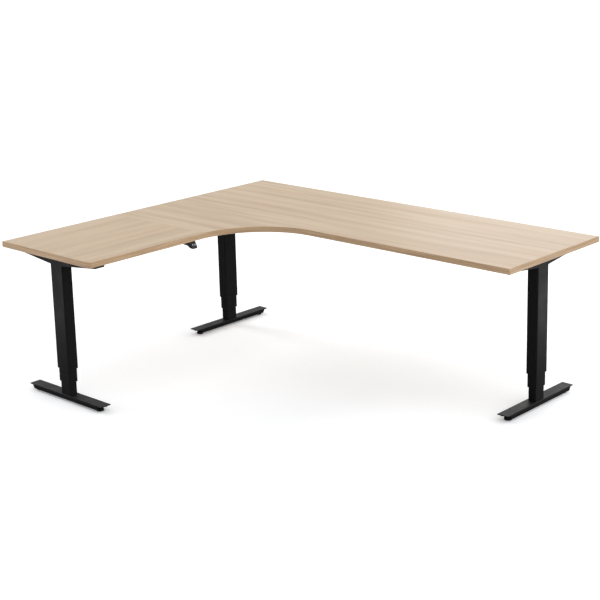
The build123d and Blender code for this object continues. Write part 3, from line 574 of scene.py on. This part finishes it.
def handset_housing(material):
    """Moulded housing: flat tongue, hollow sweep and leaning nose with two button wells."""
    low, high, _ = box_of("handset")
    top_edge = handset_edge()
    back = low.x - top_edge.x
    foot_x = HANDSET_LEAN - HANDSET_SETBACK
    nose_x = foot_x - HANDSET_NOSE_DEPTH
    outline = [
        (back, 0),
        (-HANDSET_SETBACK, 0),
        (foot_x, -HANDSET_NOSE),
        (nose_x, -HANDSET_NOSE),
        (nose_x - HANDSET_LEAN, -HANDSET_BODY),
        (back, -HANDSET_TAIL),
    ]
    bm = bmesh.new()
    flat_face(bm, [(top_edge.x + x, low.y, top_edge.z + z) for x, z in outline])
    thicken(bm, (0, high.y - low.y, 0))
    hollow = top_edge + Vector((nose_x - HANDSET_LEAN, 0, -HANDSET_BODY))
    sweep = min(bm.edges, key=lambda edge: (middle_of(edge) - hollow).length)
    ease(bm, [sweep], HANDSET_HOLLOW, segments=8)
    corners = [edge for edge in bm.edges
               if all(vert.co.z < low.z + TOUCH for vert in edge.verts) and length_along(edge, "y") < TOUCH]
    ease(bm, corners, HANDSET_CORNER, segments=8)
    rims = [edge for edge in bm.edges
            if edge.calc_face_angle() > RIM_ANGLE and min(vert.co.z for vert in edge.verts) < high.z - TOUCH]
    ease(bm, rims, HANDSET_RIM, segments=4)
    place = face_frame()
    out = place.to_3x3() @ Vector((0, 0, 1))
    leaning = [face for face in bm.faces if face.normal.dot(out) > 0.99]
    panel = max(leaning, key=lambda face: face.calc_area())
    bmesh.ops.inset_region(bm, faces=[panel], thickness=PANEL_INSET, depth=-PANEL_RECESS,
                           use_even_offset=True, use_boundary=True)
    sink_wells(bm, panel, place)
    show("handset_housing", bm, material, "worktop", ("handset",))


def press_button(side, name, material):
    """Push button with rounded corners and an eased rim: side -1 is down, 1 is up."""
    bm = bmesh.new()
    across = BUTTON_WIDTH / 2
    tall = BUTTON_HEIGHT / 2
    corners = [(-across, -tall, 0), (across, -tall, 0), (across, tall, 0), (-across, tall, 0)]
    flat_face(bm, corners)
    for corner in corners:
        round_corner(bm, corner, BUTTON_ROUND, segments=6)
    thicken(bm, (0, 0, BUTTON_DEPTH))
    crown = [edge for edge in bm.edges if all(vert.co.z > BUTTON_DEPTH / 2 for vert in edge.verts)]
    ease(bm, crown, BUTTON_EASE, segments=3)
    seat = Matrix.Translation((side * BUTTON_PITCH / 2, 0, BUTTON_PROUD - BUTTON_DEPTH))
    bmesh.ops.transform(bm, verts=bm.verts, matrix=face_frame() @ seat)
    show(f"{name}_cap", bm, material, name, (name,))


def arrow_mark(side, name, material):
    """Pale printed triangle on a button, pointing up or down."""
    bm = bmesh.new()
    across = ARROW_WIDTH / 2
    tip = side * ARROW_HEIGHT / 2
    flat_face(bm, [(-across, -tip, 0), (across, -tip, 0), (0, tip, 0)])
    thicken(bm, (0, 0, ARROW_THICKNESS))
    seat = Matrix.Translation((side * BUTTON_PITCH / 2, 0, BUTTON_PROUD))
    bmesh.ops.transform(bm, verts=bm.verts, matrix=face_frame() @ seat)
    show(f"{name}_arrow", bm, material, name)


# Stage

def area_light(name, place, target, size, power):
    """Soft rectangular light aimed at a point."""
    data = bpy.data.lights.new(name, "AREA")
    data.shape = "RECTANGLE"
    data.size, data.size_y = size
    data.energy = power
    lamp = bpy.data.objects.new(name, data)
    lamp.location = place
    lamp.visible_camera = False
    lamp.rotation_euler = (Vector(target) - Vector(place)).to_track_quat("-Z", "Y").to_euler()
    bpy.context.scene.collection.objects.link(lamp)


def window_light(name, side, spread, power):
    """Even light from one side, as wide as a window of the given spread in degrees."""
    data = bpy.data.lights.new(name, "SUN")
    data.angle = math.radians(spread)
    data.energy = power
    lamp = bpy.data.objects.new(name, data)
    lamp.rotation_euler = Vector(side).to_track_quat("Z", "Y").to_euler()
    bpy.context.scene.collection.objects.link(lamp)


def surround():
    """White to the camera. Reflections find it dark at the floor and brighter towards the back right."""
    world = bpy.data.worlds.new("studio_white")
    world.use_nodes = True
    tree = world.node_tree
    tree.nodes.clear()
    direction = add_node(tree, "ShaderNodeTexCoord").outputs["Generated"]
    height = add_node(tree, "ShaderNodeSeparateXYZ", {"Vector": direction}).outputs["Z"]
    rise = add_node(tree, "ShaderNodeMapRange", {
        "Value": height, "From Min": SURROUND_RISE[0], "From Max": SURROUND_RISE[1],
        "To Max": SURROUND_STRENGTH})
    side = add_node(tree, "ShaderNodeVectorMath", {0: direction, 1: BRIGHT_SIDE}, operation="DOT_PRODUCT")
    swell = add_node(tree, "ShaderNodeMath", {0: side.outputs["Value"], 1: 1.0}, operation="ADD")
    glow = add_node(tree, "ShaderNodeMath", {
        0: rise.outputs["Result"], 1: swell.outputs["Value"], 2: FLOOR_GLOW}, operation="MULTIPLY_ADD")
    seen = add_node(tree, "ShaderNodeLightPath").outputs["Is Camera Ray"]
    strength = add_node(tree, "ShaderNodeMix", {"Factor": seen, "A": glow.outputs["Value"], "B": 1.0},
                        data_type="FLOAT")
    background = add_node(tree, "ShaderNodeBackground", {
        "Color": (1, 1, 1, 1), "Strength": strength.outputs["Result"]})
    add_node(tree, "ShaderNodeOutputWorld", {"Surface": background.outputs["Background"]})
    bpy.context.scene.world = world


def paper_floor():
    """Wide white floor, which reflections don't see."""
    bm = bmesh.new()
    bmesh.ops.create_grid(bm, x_segments=1, y_segments=1, size=FLOOR_REACH)
    mesh = bpy.data.meshes.new("studio_floor")
    bm.to_mesh(mesh)
    bm.free()
    mesh.materials.append(studio_floor())
    floor = bpy.data.objects.new("studio_floor", mesh)
    bpy.context.scene.collection.objects.link(floor)
    floor.visible_glossy = False


def studio():
    """White floor, the surround, and soft lights out of view."""
    surround()
    paper_floor()
    area_light("back_light", place=(-0.6, 2.9, 1.7), target=(0.8, 0.4, 0.69), size=(1.8, 1.0), power=11)
    area_light("left_strip_light", place=(-1.67, -1.46, 0.20), target=(-0.7, -0.76, 0.30), size=(1.0, 0.20),
               power=2.6)
    area_light("right_strip_light", place=(1.49, 1.31, 0.20), target=(0.94, 0.48, 0.30), size=(0.8, 0.20),
               power=2.4)
    window_light("left_window_light", side=(-1.0, -0.15, 0.75), spread=25, power=0.84)


def photo_camera():
    """Camera at the photograph's viewing angle."""
    data = bpy.data.cameras.new("photo_camera")
    data.lens = CAMERA_LENS
    data.shift_x, data.shift_y = CAMERA_SHIFT
    camera = bpy.data.objects.new("photo_camera", data)
    camera.location = CAMERA_PLACE
    camera.rotation_euler = Euler([math.radians(angle) for angle in CAMERA_TURN])
    bpy.context.scene.collection.objects.link(camera)
    bpy.context.scene.camera = camera


# Finishes of the frame's own solids

powder_coat = black_powder_coat()
edge_strip = oak_edge_band()
# ABS moulded in a spark-eroded tool: an even matt black that hides scratches.
abs_black = moulded_plastic("black_abs_moulding", "08080a", "101012", rough=0.5, grit=0.9 * MM)
# ABS keys from a finer tool: a little smoother and lighter than the housing round them.
abs_button = moulded_plastic("black_abs_button", "1e1e21", "2a2a2e", rough=0.42, grit=0.9 * MM)
# Acetal glides, moulded smooth: deep black with a waxy gloss.
acetal = moulded_plastic("black_acetal", "0b0b0c", "121213", rough=0.38, grit=1.5 * MM)
# Glass-filled nylon pads: dull black, with glass fibres that mottle the skin.
nylon = moulded_plastic("black_glass_filled_nylon", "0e0e0f", "19191a", rough=0.55, grit=1.2 * MM)
# Pad-printed ink on the keys: flat pale grey.
pale_print = moulded_plastic("pale_pad_print", "d4d7da", "e2e4e7", rough=0.5, grit=1.0 * MM)
# Stoved enamel on the motor can and gear case: black with a soft orange-peel gloss.
motor_enamel = moulded_plastic("black_motor_enamel", "111214", "1c1d20", rough=0.35, grit=3 * MM)
# Rolled steel spindles, bright and oiled: fine rings where the thread was rolled.
rolled_steel = steel("rolled_steel_spindle", "8d8d90", "b4b4b6", rough=0.32,
                     marks_size=(3 * MM, 3 * MM, 1.2 * MM))
# Zinc plated fasteners: cool bright grey with a cloudy bloom.
zinc_plate = steel("zinc_plated_steel", "9fa3a8", "c6c9cd", rough=0.35,
                   marks_size=(4 * MM, 4 * MM, 4 * MM))

BOARD_FINISHES = {
    "corner_panel": oak_melamine("oak_melamine_along_x", "X"),
    "wing_panel": oak_melamine("oak_melamine_along_y", "Y"),
}
SLOT_FINISHES = {
    "oak_edge_band": edge_strip,
    "black_powder_coat": powder_coat,
    "black_glide": acetal,
    "pad_plastic": nylon,
    "spindle_steel": rolled_steel,
    "motor_case": motor_enamel,
    "black_moulding": abs_black,
    "button_plastic": abs_button,
    "zinc_steel": zinc_plate,
    "plywood_tongue": birch_plywood(),
}
for subpart in frame["record"]["subparts"]:
    solid = frame["nodes"][subpart["node"]]
    finish = BOARD_FINISHES.get(subpart["node"]) or SLOT_FINISHES[subpart["material_slot"]]
    solid.data.materials.clear()
    solid.data.materials.append(finish)

# New pieces

edge_band("corner_edge_strip", "corner_edge_band", edge_strip, keep_back=True)
edge_band("wing_edge_strip", "wing_edge_band", edge_strip, keep_back=False)
for leg in LEGS:
    foot_channel(leg, powder_coat)
    for end in "ab":
        levelling_pad(f"{leg}_levelling_foot_{end}", nylon)
handset_housing(abs_black)
for side, button in ((1, "up_button"), (-1, "down_button")):
    press_button(side, button, abs_button)
    arrow_mark(side, button, pale_print)

studio()
photo_camera()
bpy.context.scene.view_settings.view_transform = "Standard"
